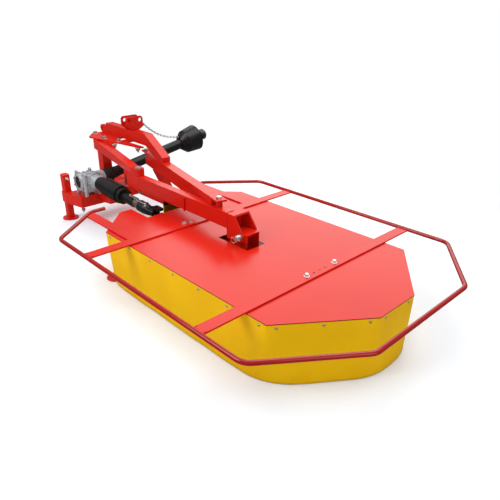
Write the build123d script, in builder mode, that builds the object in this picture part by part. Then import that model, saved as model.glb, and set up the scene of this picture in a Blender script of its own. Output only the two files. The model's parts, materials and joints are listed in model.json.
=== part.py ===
# Two-rotor disc mower on a three-point headstock.
# Frame: millimetres, +X away from the tractor along the cutting width, +Y forwards, +Z up.
# Z = 0 is the ground that the gliding saucers and the parking leg stand on.
from build123d import *
from math import cos, degrees, hypot, pi, radians, sin, tan
import os

os.makedirs("parts", exist_ok=True)

# ---------------------------------------------------------------- shared fits
fit = 0.06            # radial play of a running fit
touch = 0.3           # clearance of soft sheet and of curved seats
side_play = 1.0       # play between the cheeks of a pivot

# ---------------------------------------------------------------- deck
deck_y = -94          # middle of the deck and line of the rotor axes
deck_half = 500
deck_out = 1349       # outer end
deck_in = -343        # inner end, beside the tractor
out_run, out_rise = 271, 371
in_run, in_rise = 208, 210
deck_top = 305
sheet = 4
rim_depth = 30
rim_radius = 30
skirt_wall = 3
skirt_foot = 14
skirt_top_radius = 12
skirt_foot_radius = 90
notch_end = -163      # the drive shaft dips through this cut in the inner end
notch_rear, notch_front = -309, -79
notch_sill = 185
slot_in, slot_out = 327, 550
slot_rear, slot_front = -191, -67

# ---------------------------------------------------------------- rotors
rotor_spacing = 780
rotor_mid = 503
rotor_x = (rotor_mid - rotor_spacing / 2, rotor_mid + rotor_spacing / 2)
case_bottom, case_top = 190, 261
case_in, case_out = -13, 1017
case_half = 60
case_y = -114
turret_radius = 100
spindle_radius = 30
saucer_bore = 20
disc_radius = 330
disc_under, disc_sheet = 50, 6
drum_foot_radius, drum_top_radius = 160, 130
drum_top = 184
drum_wall = 4
hub_radius = 46
knife_pivot = disc_radius - 30
knife_reach = disc_radius + 90
knife_count = 3
knife_width, knife_thick = 48, 4
knife_stud = 8
rib_count = 3
saucer_radius = 235
saucer_wall = 5

# ---------------------------------------------------------------- guard pipe and flats
pipe_radius = 10.75
pipe_z = 312
pipe_rear, pipe_front = -825, 637
pipe_out = 1472
pipe_chamfer_run, pipe_chamfer_rise = 279, 384
pipe_in = -196
pipe_knee_x, pipe_knee_half = -443, 423
pipe_tail = 89
pipe_bend = 70
flat_width, flat_thick = 60, 8
flat_x = (77, 937)
short_flat_y = (-539, 276)
member = 40
member_wall = 3

# ---------------------------------------------------------------- arm
tilt_x, tilt_z = 477, 348     # pendulum pin, along Y
pin_radius = 12
arm_rear, arm_width = -174, 50
arm_bottom, arm_height = 367, 85
arm_in, arm_out = -593, 374
arm_wall = 5
head_width = 108
cheek = 8
bracket_in, bracket_out = 402, 517
bracket_wall = 7
swing_x, swing_y = -483, -149
swing_radius = 16
swing_boss = 24

# ---------------------------------------------------------------- headstock
brace_start = (-700, 80)      # a point of the brace's rear top edge
brace_turn = -14.24           # degrees about Z
brace_width, brace_height = 60, 85
brace_top = 495
brace_plate_in, brace_in, brace_step, brace_out, brace_plate_out = -175, -100, 800, 962, 1030
stay_left, stay_right = -1208, -543
stay_width = 60
stay_left_y, stay_right_y = -34, -144
stay_left_z, stay_right_z = (471, 543), (453, 495)
stay_wall = 5
lug_end = swing_x + 44
post_x, post_y, post_size = -1129, -30, 68
base_bottom, base_top = 130, 207
base_in, base_out = -1163, -993
beam_rear, beam_size = 146, 80
beam_in, beam_out = -1403, -623
link_pin_radius, link_pin_length = 14, 80
plate_z, plate_thick = 543, 10
mast_rear, mast_width = 78, 60
mast_bottom, mast_top = plate_z + plate_thick, 628
mast_in, mast_bend, strut_end = -1262, -742, -483
strut_drop, strut_turn = 101, 45
mast_ear_x, mast_ear_radius = -1322, 28
upright_in, upright_out = -655, -593
ear_x = (-967, -907)
ear_thick = 10
ear_hole_y = (65, 150)
ear_hole_z, ear_hole_radius = 696, 12.85
chain_eye_y, chain_eye_z = 178, 660
eye_radius, eye_hole, eye_thick, eye_play = 9, 3.5, 4, 0.85
leg_x, leg_y, leg_size = -1194, -320, 44
leg_head = 50
leg_wall = 4
leg_play = 0.5
leg_top = 335
foot_radius, foot_thick = 55, 8

# ---------------------------------------------------------------- drive
drive_y, drive_z = -199, 305
knuckle_x = -833              # centre of the joint at the gearbox
stub_x, stub_z = -213, 270    # centre of the joint at the cutting unit
cross_radius, cross_half = 7, 29
fork_in, fork_half = 19, 12
core_radius = 17
bell_radius, bell_wall = 60, 4
tube_outer, tube_inner = 33, 28
pto_x, pto_y, pto_z = -1043, -107, 301
pto_rise = 10.7               # degrees above level
pto_tube, pto_tube_wall = 37.5, 4.5
pto_bell_start, pto_bell_step, pto_bell_end = 700, 752, 859
pto_neck_radius, pto_step_radius, pto_bell_radius = 45.5, 88, 100
guard_eye_along, guard_eye_lift = 706, 3.596
yoke_radius, yoke_end, spline_radius = 42, 954, 17.5

deck_corners = [
    (deck_out - out_run, deck_y - deck_half),
    (deck_out, deck_y - deck_half + out_rise),
    (deck_out, deck_y + deck_half - out_rise),
    (deck_out - out_run, deck_y + deck_half),
    (deck_in + in_run, deck_y + deck_half),
    (deck_in, deck_y + deck_half - in_rise),
    (deck_in, deck_y - deck_half + in_rise),
    (deck_in + in_run, deck_y - deck_half),
]
notch_mid = (deck_in + notch_end) / 2
notch_y = (notch_rear + notch_front) / 2

# ================================================================ cutting unit
# cover: flat sheet with a folded rim, a notch for the drive shaft and a slot for the pivot bracket
with BuildPart() as cover:
    with BuildSketch(Plane.XY.offset(deck_top)):
        with BuildLine():
            Polyline(*deck_corners, close=True)
        make_face()
    extrude(amount=-sheet)
    with BuildSketch(Plane.XY.offset(deck_top - sheet)):
        with BuildLine():
            Polyline(*deck_corners, close=True)
        make_face()
        offset(amount=-(skirt_wall + touch), kind=Kind.INTERSECTION)
        fillet(vertices(), rim_radius)
        offset(amount=-sheet, mode=Mode.SUBTRACT)
    extrude(amount=-rim_depth)
    with Locations((notch_mid - sheet, notch_y, deck_top)):
        Box(notch_end - deck_in + 2 * sheet, notch_front - notch_rear, 3 * rim_depth, mode=Mode.SUBTRACT)
    with Locations(((slot_in + slot_out) / 2, (slot_rear + slot_front) / 2, deck_top)):
        Box(slot_out - slot_in, slot_front - slot_rear, rim_depth, mode=Mode.SUBTRACT)
cover.part.label = "cover"
export_step(cover.part, "parts/cover.step")

# skirt: tarpaulin round the deck, cornered at the top and rounded towards its hem
skirt_top = deck_top - sheet - touch
with BuildPart() as skirt:
    for inset, mode in ((0, Mode.ADD), (skirt_wall, Mode.SUBTRACT)):
        for height, radius in ((skirt_top, skirt_top_radius), (skirt_foot, skirt_foot_radius)):
            with BuildSketch(Plane.XY.offset(height)):
                with BuildLine():
                    Polyline(*deck_corners, close=True)
                make_face()
                offset(amount=-inset, kind=Kind.INTERSECTION)
                fillet(vertices(), radius - inset)
        loft(mode=mode)
    with Locations((deck_in, notch_y, (notch_sill + deck_top) / 2)):
        Box(8 * skirt_wall, notch_front - notch_rear, deck_top - notch_sill, mode=Mode.SUBTRACT)
skirt.part.label = "skirt"
export_step(skirt.part, "parts/skirt.step")

# gear case: closed beam under the cover with a turret over each rotor
with BuildPart() as gear_case:
    with BuildSketch(Plane.XY.offset(case_bottom)):
        with Locations(((case_in + case_out) / 2, case_y)):
            RectangleRounded(case_out - case_in, 2 * case_half, 20)
        with Locations(*[(x, deck_y) for x in rotor_x]):
            Circle(turret_radius)
    extrude(amount=case_top - case_bottom)
gear_case.part.label = "gear_case"
export_step(gear_case.part, "parts/gear_case.step")

# cross members: two square tubes over the gear case that carry the cover
with BuildPart() as cross_members:
    with BuildSketch(Plane.XZ.offset(-deck_y)):
        with Locations(*[(x, deck_top - sheet - member / 2) for x in flat_x]):
            Rectangle(member, member)
            Rectangle(member - 2 * member_wall, member - 2 * member_wall, mode=Mode.SUBTRACT)
    extrude(amount=deck_half - rim_depth, both=True)
cross_members.part.label = "cross_members"
export_step(cross_members.part, "parts/cross_members.step")

# pivot bracket: upright rectangular tube on the gear case, bored for the pendulum pin
bracket_y = arm_rear + head_width / 2
bracket_width = head_width - 2 * cheek - 2 * side_play
with BuildPart() as pivot_bracket:
    with BuildSketch(Plane.YZ.offset(bracket_in)):
        with Locations((bracket_y, (case_top + arm_bottom) / 2)):
            Rectangle(bracket_width, arm_bottom - case_top)
            Rectangle(bracket_width - 2 * bracket_wall, arm_bottom - case_top - 2 * bracket_wall, mode=Mode.SUBTRACT)
    extrude(amount=bracket_out - bracket_in)
    with BuildSketch(Plane.XZ.offset(-bracket_y)):
        with Locations((tilt_x, tilt_z)):
            Circle(pin_radius + 5)
    extrude(amount=bracket_width / 2, both=True)
    with BuildSketch(Plane.XZ.offset(-bracket_y)):
        with Locations((tilt_x, tilt_z)):
            Circle(pin_radius + fit)
    extrude(amount=bracket_width, both=True, mode=Mode.SUBTRACT)
pivot_bracket.part.label = "pivot_bracket"
export_step(pivot_bracket.part, "parts/pivot_bracket.step")

# guard pipe: one bent pipe round three sides, its inner ends turned in
pipe_mid = (pipe_rear + pipe_front) / 2
with BuildPart() as guard_pipe:
    with BuildLine():
        pipe_route = FilletPolyline(
            (pipe_knee_x, pipe_mid - pipe_knee_half + pipe_tail, pipe_z),
            (pipe_knee_x, pipe_mid - pipe_knee_half, pipe_z),
            (pipe_in, pipe_rear, pipe_z),
            (pipe_out - pipe_chamfer_run, pipe_rear, pipe_z),
            (pipe_out, pipe_rear + pipe_chamfer_rise, pipe_z),
            (pipe_out, pipe_front - pipe_chamfer_rise, pipe_z),
            (pipe_out - pipe_chamfer_run, pipe_front, pipe_z),
            (pipe_in, pipe_front, pipe_z),
            (pipe_knee_x, pipe_mid + pipe_knee_half, pipe_z),
            (pipe_knee_x, pipe_mid + pipe_knee_half - pipe_tail, pipe_z),
            radius=pipe_bend,
        )
    with BuildSketch(Plane(origin=pipe_route @ 0, z_dir=pipe_route % 0)):
        Circle(pipe_radius)
    sweep()
guard_pipe.part.label = "guard_pipe"
export_step(guard_pipe.part, "parts/guard_pipe.step")

# flats: two across the deck from pipe to pipe, and two short ones at the inner end
with BuildPart() as cross_flats:
    with BuildSketch(Plane.XY.offset(deck_top)):
        with Locations(*[(x, pipe_mid) for x in flat_x]):
            Rectangle(flat_width, pipe_front - pipe_rear)
    extrude(amount=flat_thick)
    with BuildSketch(Plane.YZ.offset(rotor_mid)):
        with Locations((pipe_rear, pipe_z), (pipe_front, pipe_z)):
            Circle(pipe_radius + touch)
            Rectangle(2 * pipe_radius, 4 * pipe_radius, align=(Align.CENTER, Align.CENTER))
    extrude(amount=rotor_spacing, both=True, mode=Mode.SUBTRACT)
cross_flats.part.label = "cross_flats"
export_step(cross_flats.part, "parts/cross_flats.step")

pipe_half = (pipe_front - pipe_rear) / 2
knee_slope = (pipe_in - pipe_knee_x) / (pipe_half - pipe_knee_half)
flat_end = flat_x[0] - flat_width / 2
with BuildPart() as short_flats:
    for y in short_flat_y:
        with BuildSketch(Plane.XY.offset(deck_top)):
            with BuildLine():
                ends = []
                for edge in (y - flat_width / 2, y + flat_width / 2):
                    past_knee = max(0, abs(edge - pipe_mid) - pipe_knee_half) * knee_slope
                    reach = (pipe_radius + touch) * hypot(1, knee_slope)
                    ends.append((pipe_knee_x + past_knee + reach, edge))
                Polyline(ends[0], ends[1], (flat_end, ends[1][1]), (flat_end, ends[0][1]), close=True)
            make_face()
        extrude(amount=flat_thick)
short_flats.part.label = "short_flats"
export_step(short_flats.part, "parts/short_flats.step")

# input housing: bevel box at the inner end of the gear case, its shaft looking at the tractor
housing_out = case_in
housing_in = notch_end + 20
with BuildPart() as input_housing:
    with BuildSketch(Plane.YZ.offset(housing_in)):
        with BuildLine():
            Polyline(
                (drive_y - 55, case_bottom),
                (drive_y - 55, stub_z + 10),
                (drive_y - 35, deck_top - sheet - 6),
                (drive_y + 35, deck_top - sheet - 6),
                (drive_y + 75, case_top),
                (drive_y + 75, case_bottom),
                close=True,
            )
        make_face()
    extrude(amount=housing_out - housing_in)
    with BuildSketch(Plane.YZ.offset(housing_in)):
        with Locations((drive_y, stub_z)):
            Circle(30)
    extrude(amount=-6)
input_housing.part.label = "input_housing"
export_step(input_housing.part, "parts/input_housing.step")

# input knuckle: stub shaft, fork and cross that the drive shaft's last fork turns on
stub_plane = Plane(origin=(stub_x, drive_y, stub_z), x_dir=(0, 1, 0), z_dir=(1, 0, 0))
with BuildPart() as input_knuckle:
    with BuildSketch(stub_plane.offset(cross_half + 6)):
        Circle(core_radius)
    extrude(amount=housing_in - 6 - stub_x - cross_half - 6)
    with BuildSketch(stub_plane.offset(cross_half)):
        Circle(cross_half)
    extrude(amount=6)
    with BuildSketch(Plane.XY.offset(stub_z - fork_half)):
        with Locations(
            (stub_x + cross_half / 2, drive_y - (fork_in + cross_half) / 2),
            (stub_x + cross_half / 2, drive_y + (fork_in + cross_half) / 2),
        ):
            Rectangle(cross_half + 2 * fork_half, cross_half - fork_in)
    extrude(amount=2 * fork_half)
    with Locations((stub_x, drive_y, stub_z)):
        Box(2 * cross_radius + 4, 2 * cross_radius + 4, 2 * cross_radius + 4)
        Cylinder(cross_radius, 2 * cross_half)
        Cylinder(cross_radius, 2 * cross_half, rotation=(90, 0, 0))
input_knuckle.part.label = "input_knuckle"
export_step(input_knuckle.part, "parts/input_knuckle.step")

# spindles: the fixed posts under the turrets that the rotors and saucers turn on
with BuildPart() as spindles:
    for x in rotor_x:
        with BuildSketch(Plane.XZ.offset(-deck_y)):
            with BuildLine():
                Polyline(
                    (x, case_bottom),
                    (x + spindle_radius, case_bottom),
                    (x + spindle_radius, 40),
                    (x + saucer_bore, 40),
                    (x + saucer_bore, 12),
                    (x + spindle_radius, 12),
                    (x + spindle_radius, 5),
                    (x, 5),
                    close=True,
                )
            make_face()
        revolve(axis=Axis((x, deck_y, 0), (0, 0, 1)))
spindles.part.label = "spindles"
export_step(spindles.part, "parts/spindles.step")

# rotors: dished disc with its drum, feeder ribs and knife studs; turned about their own axes
disc_top = disc_under + disc_sheet
for name, x in (("rotor_inner", rotor_x[0]), ("rotor_outer", rotor_x[1])):
    with BuildPart() as rotor:
        with BuildSketch(Plane.XZ.offset(-deck_y)):
            with BuildLine():
                Polyline(
                    (x + spindle_radius + fit, 44),
                    (x + hub_radius, 44),
                    (x + hub_radius, disc_under),
                    (x + disc_radius - 30, disc_under),
                    (x + disc_radius, disc_under + 8),
                    (x + disc_radius, disc_top + 8),
                    (x + disc_radius - 32, disc_top),
                    (x + drum_foot_radius, disc_top),
                    (x + drum_top_radius, drum_top),
                    (x + spindle_radius + fit, drum_top),
                    (x + spindle_radius + fit, drum_top - 12),
                    (x + drum_top_radius - drum_wall - 1, drum_top - 12),
                    (x + drum_foot_radius - drum_wall, disc_top),
                    (x + hub_radius, disc_top),
                    (x + hub_radius, 100),
                    (x + spindle_radius + fit, 100),
                    close=True,
                )
            make_face()
        revolve(axis=Axis((x, deck_y, 0), (0, 0, 1)))
        rib_height = drum_top - disc_top - 14
        with BuildSketch(Plane.XY.offset(disc_top)):
            with Locations((x, deck_y)):
                with PolarLocations(drum_foot_radius + 4, rib_count, start_angle=30):
                    Rectangle(22, 8)
        extrude(amount=rib_height, taper=6)
        with BuildSketch(Plane.XY.offset(disc_under)):
            with Locations((x, deck_y)):
                with PolarLocations(knife_pivot, knife_count):
                    Circle(knife_stud)
        extrude(amount=-(knife_thick + 5))
        with BuildSketch(Plane.XY.offset(disc_under - knife_thick - 2)):
            with Locations((x, deck_y)):
                with PolarLocations(knife_pivot, knife_count):
                    Circle(knife_stud + 5)
        extrude(amount=-3)
    rotor.part.label = name
    export_step(rotor.part, f"parts/{name}.step")

# knives: loose blades on the studs, square across the disc's rim
for name, x in (("knives_inner", rotor_x[0]), ("knives_outer", rotor_x[1])):
    with BuildPart() as knives:
        with BuildSketch(Plane.XY.offset(disc_under - 1)):
            with Locations((x, deck_y)):
                with PolarLocations((knife_pivot + knife_reach) / 2 - 8, knife_count):
                    RectangleRounded(knife_reach - knife_pivot + 32, knife_width, 6)
                with PolarLocations(knife_pivot, knife_count):
                    Circle(knife_stud + fit, mode=Mode.SUBTRACT)
        extrude(amount=-knife_thick)
    knives.part.label = name
    export_step(knives.part, f"parts/{name}.step")

# gliding saucers: free-turning dishes that the unit stands on
for name, x in (("saucer_inner", rotor_x[0]), ("saucer_outer", rotor_x[1])):
    with BuildPart() as saucer:
        with BuildSketch(Plane.XZ.offset(-deck_y)):
            with BuildLine():
                Polyline(
                    (x + saucer_bore + fit, 14),
                    (x + 52, 14),
                    (x + 66, 0),
                    (x + 120, 0),
                    (x + saucer_radius, 26),
                    (x + saucer_radius, 26 + saucer_wall),
                    (x + 118, saucer_wall),
                    (x + 69, saucer_wall),
                    (x + 55, 14 + saucer_wall),
                    (x + 42, 14 + saucer_wall),
                    (x + 42, 38),
                    (x + saucer_bore + fit, 38),
                    close=True,
                )
            make_face()
        revolve(axis=Axis((x, deck_y, 0), (0, 0, 1)))
    saucer.part.label = name
    export_step(saucer.part, f"parts/{name}.step")

# ================================================================ arm
# arm beam: closed box tube with a vertical bush for the swing pin
with BuildPart() as arm_beam:
    with BuildSketch(Plane.YZ.offset(arm_in)):
        with Locations((arm_rear + arm_width / 2, arm_bottom + arm_height / 2)):
            Rectangle(arm_width, arm_height)
    extrude(amount=arm_out - arm_in)
    with BuildSketch(Plane.YZ.offset(arm_in + arm_wall)):
        with Locations((arm_rear + arm_width / 2, arm_bottom + arm_height / 2)):
            Rectangle(arm_width - 2 * arm_wall, arm_height - 2 * arm_wall)
    extrude(amount=arm_out - arm_in - 2 * arm_wall, mode=Mode.SUBTRACT)
    with BuildSketch(Plane.XY.offset(arm_bottom)):
        with Locations((swing_x, swing_y)):
            Circle(swing_boss)
    extrude(amount=arm_height)
    with BuildSketch(Plane.XY.offset(arm_bottom)):
        with Locations((swing_x, swing_y)):
            Circle(swing_radius + fit)
    extrude(amount=arm_height, mode=Mode.SUBTRACT)
arm_beam.part.label = "arm_beam"
export_step(arm_beam.part, "parts/arm_beam.step")

# arm head: two cheeks with a top and a back plate, open below and slanted at the outer end
arm_top = arm_bottom + arm_height
head_y = arm_rear + head_width / 2
with BuildPart() as arm_head:
    with BuildSketch(Plane.XZ.offset(-head_y)):
        with BuildLine():
            Polyline(
                (arm_out, arm_top),
                (arm_out + 55, arm_top),
                (tilt_x + 24, tilt_z + 10),
                (tilt_x + 24, tilt_z - 22),
                (tilt_x + 8, tilt_z - 34),
                (arm_out, tilt_z - 34),
                close=True,
            )
        make_face()
    extrude(amount=head_width / 2, both=True)
    with BuildSketch(Plane.XZ.offset(-head_y)):
        with BuildLine():
            Polyline(
                (arm_out + cheek, arm_top - cheek),
                (bracket_out + 40, arm_top - cheek),
                (bracket_out + 40, tilt_z - 50),
                (arm_out - 10, tilt_z - 50),
                (arm_out - 10, arm_bottom + 18),
                (arm_out + cheek, arm_bottom + 18),
                close=True,
            )
        make_face()
    extrude(amount=head_width / 2 - cheek, both=True, mode=Mode.SUBTRACT)
    with BuildSketch(Plane.XZ.offset(-head_y)):
        with Locations((tilt_x, tilt_z)):
            Circle(pin_radius)
    extrude(amount=head_width, both=True, mode=Mode.SUBTRACT)
arm_head.part.label = "arm_head"
export_step(arm_head.part, "parts/arm_head.step")

# pendulum pin with its front head and rear washer
with BuildPart() as pendulum_pin:
    with BuildSketch(Plane.XZ.offset(-(head_y + head_width / 2))):
        with Locations((tilt_x, tilt_z)):
            Circle(pin_radius)
    extrude(amount=head_width + 34)
    with BuildSketch(Plane.XZ.offset(-(head_y + head_width / 2))):
        with Locations((tilt_x, tilt_z)):
            Circle(pin_radius + 7)
    extrude(amount=-9)
    with BuildSketch(Plane.XZ.offset(-(head_y - head_width / 2))):
        with Locations((tilt_x, tilt_z)):
            Circle(pin_radius + 6)
    extrude(amount=4)
pendulum_pin.part.label = "pendulum_pin"
export_step(pendulum_pin.part, "parts/pendulum_pin.step")

# stop pad: rubber block on the arm's inner end
with BuildPart() as stop_pad:
    with BuildSketch(Plane.YZ.offset(arm_in)):
        with Locations((arm_rear + arm_width / 2, arm_bottom + 30)):
            RectangleRounded(arm_width - 10, 46, 5)
    extrude(amount=-18)
stop_pad.part.label = "stop_pad"
export_step(stop_pad.part, "parts/stop_pad.step")

# ================================================================ headstock
# base: box under the gearbox with a tapered wing, and the sleeve of the parking leg at its corner
sleeve_half = leg_size / 2 + leg_play + 6
with BuildPart() as base_box:
    with BuildSketch(Plane.XY.offset(base_bottom)):
        with BuildLine():
            Polyline(
                (base_in, leg_y - sleeve_half),
                (base_out, leg_y + 5),
                (base_out, beam_rear),
                (base_in, beam_rear),
                close=True,
            )
        make_face()
        with Locations(((base_in + leg_x - sleeve_half) / 2, leg_y)):
            Rectangle(base_in - leg_x + sleeve_half, 2 * sleeve_half)
        with Locations((leg_x, leg_y)):
            Rectangle(leg_size + 2 * leg_play, leg_size + 2 * leg_play, mode=Mode.SUBTRACT)
    extrude(amount=base_top - base_bottom)
    with BuildSketch(Plane.XY.offset(base_top - 55)):
        with BuildLine():
            Polyline(
                (base_out, -180),
                (base_out + 116, -157),
                (base_out + 116, -85),
                (base_out, -50),
                close=True,
            )
        make_face()
    extrude(amount=55)
base_box.part.label = "base_box"
export_step(base_box.part, "parts/base_box.step")

# hitch beam: square tube with a lower-link pin at each end
with BuildPart() as hitch_beam:
    with BuildSketch(Plane.YZ.offset(beam_in)):
        with Locations((beam_rear + beam_size / 2, base_bottom + beam_size / 2)):
            Rectangle(beam_size, beam_size)
    extrude(amount=beam_out - beam_in)
    for x, direction in ((beam_in, -1), (beam_out, 1)):
        with BuildSketch(Plane.YZ.offset(x)):
            with Locations((beam_rear + beam_size / 2, base_bottom + beam_size / 2)):
                Circle(link_pin_radius)
        extrude(amount=direction * link_pin_length)
        with BuildSketch(Plane.YZ.offset(x)):
            with Locations((beam_rear + beam_size / 2, base_bottom + beam_size / 2)):
                Circle(link_pin_radius + 11)
        extrude(amount=direction * 8)
hitch_beam.part.label = "hitch_beam"
export_step(hitch_beam.part, "parts/hitch_beam.step")

# upright: leaning post on the outer end of the beam that carries the brace, with a gusset
with BuildPart() as upright:
    for z, rear in ((base_bottom + beam_size, beam_rear + 10), (brace_top - brace_height, 62)):
        with BuildSketch(Plane.XY.offset(z)):
            with Locations(((upright_in + upright_out) / 2, rear + 27)):
                Rectangle(upright_out - upright_in, 54)
    loft()
    with BuildSketch(Plane.XZ.offset(-(beam_rear + beam_size / 2))):
        with BuildLine():
            Polyline(
                (upright_in + 10, base_bottom + beam_size),
                (upright_in + 10, base_bottom + beam_size + 30),
                (upright_in - 90, base_bottom + beam_size),
                close=True,
            )
        make_face()
    extrude(amount=5, both=True)
upright.part.label = "upright"
export_step(upright.part, "parts/upright.step")

# mast: level box beam on the hitch plate, bent down and aside onto the brace, with a drilled ear at its inner end
mast_front = mast_rear + mast_width
mast_mid = mast_rear + mast_width / 2
with BuildPart() as mast:
    with BuildSketch(Plane.YZ.offset(mast_in)):
        with Locations((mast_mid, (mast_bottom + mast_top) / 2)):
            Rectangle(mast_width, mast_top - mast_bottom)
    extrude(amount=mast_bend - mast_in)
    for x, y, drop in ((mast_bend, mast_mid, 0), (strut_end, mast_mid - strut_turn, strut_drop)):
        with BuildSketch(Plane.YZ.offset(x)):
            with Locations((y, (mast_bottom + mast_top) / 2 - drop)):
                Rectangle(mast_width, mast_top - mast_bottom)
    loft()
    with Locations((strut_end, mast_mid, brace_top)):
        Box(4 * mast_width, 4 * mast_width, 4 * mast_width, align=(Align.CENTER, Align.CENTER, Align.MAX), mode=Mode.SUBTRACT)
    with BuildSketch(Plane.XZ.offset(-(mast_rear + 10))):
        with Locations((mast_ear_x, mast_bottom + mast_ear_radius)):
            Circle(mast_ear_radius)
        with Locations(((mast_in + mast_ear_x) / 2, mast_bottom + mast_ear_radius)):
            Rectangle(mast_in - mast_ear_x, 2 * mast_ear_radius)
        with Locations((mast_ear_x, mast_bottom + mast_ear_radius)):
            Circle(link_pin_radius - 2, mode=Mode.SUBTRACT)
    extrude(amount=10, both=True)
mast.part.label = "mast"
export_step(mast.part, "parts/mast.step")

# top link bracket: two ears across the mast with a web between them
with BuildPart() as top_link_bracket:
    for x in ear_x:
        with BuildSketch(Plane.YZ.offset(x)):
            with BuildLine():
                Polyline(
                    (ear_hole_y[0] - 26, mast_top + 34),
                    (ear_hole_y[0] - 26, ear_hole_z + 26),
                    (ear_hole_y[1] + 22, ear_hole_z + 26),
                    (ear_hole_y[1] + 22, mast_top + 20),
                    (mast_front, mast_top),
                    (mast_rear, mast_top),
                    close=True,
                )
            make_face()
            fillet(vertices().sort_by(Axis.Y)[-2:], 20)
            with Locations(*[(y, ear_hole_z) for y in ear_hole_y]):
                Circle(ear_hole_radius, mode=Mode.SUBTRACT)
        extrude(amount=ear_thick / 2, both=True)
    with BuildSketch(Plane.YZ.offset(ear_x[1])):
        with Locations((chain_eye_y, chain_eye_z)):
            Circle(eye_radius)
            Circle(eye_hole, mode=Mode.SUBTRACT)
    extrude(amount=eye_thick / 2, both=True)
    with BuildSketch(Plane.XZ.offset(-(sum(ear_hole_y) / 2))):
        with Locations((sum(ear_x) / 2, (mast_top + ear_hole_z + 20) / 2)):
            Rectangle(ear_x[1] - ear_x[0], ear_hole_z + 20 - mast_top)
    extrude(amount=6, both=True)
top_link_bracket.part.label = "top_link_bracket"
export_step(top_link_bracket.part, "parts/top_link_bracket.step")

# stay: tapered box from the post to the swing pin, ending in the pin's upper lug
stay_length = stay_right - stay_left
with BuildPart() as stay:
    for inset, mode in ((0, Mode.ADD), (stay_wall, Mode.SUBTRACT)):
        for x, y, (low, high) in ((stay_left + inset, stay_left_y, stay_left_z), (stay_right - inset, stay_right_y, stay_right_z)):
            with BuildSketch(Plane.YZ.offset(x)):
                with Locations((y, (low + high) / 2)):
                    Rectangle(stay_width - 2 * inset, high - low - 2 * inset)
        loft(mode=mode)
    with BuildSketch(Plane.XY.offset(stay_right_z[0])):
        with Locations(((stay_right + swing_x) / 2, stay_right_y)):
            Rectangle(swing_x - stay_right, stay_width)
        with Locations((swing_x, stay_right_y)):
            Circle(stay_width / 2)
        with Locations((swing_x, swing_y)):
            Circle(swing_radius, mode=Mode.SUBTRACT)
    extrude(amount=stay_right_z[1] - stay_right_z[0])
stay.part.label = "stay"
export_step(stay.part, "parts/stay.step")


def stay_under(x):
    """Height of the stay's underside at x."""
    return stay_left_z[0] + (stay_right_z[0] - stay_left_z[0]) * (x - stay_left) / stay_length


def stay_over(x):
    """Height of the stay's top at x."""
    return stay_left_z[1] + (stay_right_z[1] - stay_left_z[1]) * (x - stay_left) / stay_length


# post: square tube from the base to the stay, cut to the stay's slope
with BuildPart() as post:
    with BuildSketch(Plane.XZ.offset(-post_y)):
        with BuildLine():
            Polyline(
                (post_x - post_size / 2, base_top),
                (post_x + post_size / 2, base_top),
                (post_x + post_size / 2, stay_under(post_x + post_size / 2)),
                (post_x - post_size / 2, stay_under(post_x - post_size / 2)),
                close=True,
            )
        make_face()
    extrude(amount=post_size / 2, both=True)
post.part.label = "post"
export_step(post.part, "parts/post.step")

# hitch plate: flat plate under the mast, cut back between its tabs, with a wedge down to the stay
with BuildPart() as hitch_plate:
    with BuildSketch(Plane.XY.offset(plate_z)):
        with BuildLine():
            Polyline(
                (stay_left - 34, stay_left_y - 42),
                (mast_in - 68, -5),
                (mast_in - 68, mast_front),
                (ear_x[0] - 95, mast_front),
                (ear_x[0] - 95, mast_rear - 46),
                (ear_x[0] - 25, mast_rear - 36),
                (ear_x[0] - 25, mast_front),
                (ear_x[0] + 37, mast_front),
                (ear_x[0] + 37, mast_rear - 30),
                (mast_bend + 15, mast_rear - 24),
                (mast_bend, 28),
                (-924, -7),
                (-1067, -41),
                close=True,
            )
        make_face()
    extrude(amount=plate_thick)
    with BuildSketch(Plane.XZ.offset(-stay_left_y)):
        with BuildLine():
            Polyline((stay_left, plate_z), (ear_x[0], plate_z), (ear_x[0], stay_over(ear_x[0])), close=True)
        make_face()
    extrude(amount=12, both=True)
hitch_plate.part.label = "hitch_plate"
export_step(hitch_plate.part, "parts/hitch_plate.step")

# brace: box tube from the upright to the arm, stepped to lie over the arm and ending in a latch boss
along = Vector(cos(radians(brace_turn)), sin(radians(brace_turn)), 0)
across = Vector(-along.Y, along.X, 0)
brace_edge = Vector(brace_start[0], brace_start[1], brace_top - brace_height / 2)
latch_along, latch_across = 993, 31
pivot_along, pivot_across = -139, 24


def brace_plane(distance):
    """Section plane of the brace, local x to the front and local y up."""
    return Plane(origin=brace_edge + along * distance + across * (brace_width / 2), x_dir=across, z_dir=along)


def brace_point(distance, offset_across, z):
    """Point over the brace's plan, at the given height."""
    spot = brace_edge + along * distance + across * offset_across
    return Vector(spot.X, spot.Y, z)


with BuildPart() as brace:
    with BuildSketch(brace_plane(brace_in)):
        Rectangle(brace_width, brace_height)
    extrude(amount=brace_out - brace_in)
    with BuildSketch(brace_plane(brace_plate_in)):
        with Locations((0, brace_height / 2 - 5)):
            Rectangle(brace_width, 10)
    extrude(amount=brace_plate_out - brace_plate_in)
    with BuildSketch(brace_plane(brace_step)):
        with Locations((0, -brace_height / 2)):
            Rectangle(2 * brace_width, 2 * (arm_top + 1 - brace_top + brace_height))
    extrude(amount=brace_plate_out - brace_step, mode=Mode.SUBTRACT)
    with BuildSketch(Plane(origin=brace_point(latch_along, latch_across, arm_top + 1))):
        Circle(19)
    extrude(amount=brace_top - arm_top - 1)
    with BuildSketch(Plane(origin=brace_point(latch_along, latch_across, arm_top + 1))):
        Circle(10)
    extrude(amount=brace_top - arm_top, mode=Mode.SUBTRACT)
    with BuildSketch(Plane(origin=brace_point(pivot_along, pivot_across, brace_top))):
        Circle(10)
    extrude(amount=-12, mode=Mode.SUBTRACT)
brace.part.label = "brace"
export_step(brace.part, "parts/brace.step")

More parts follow.
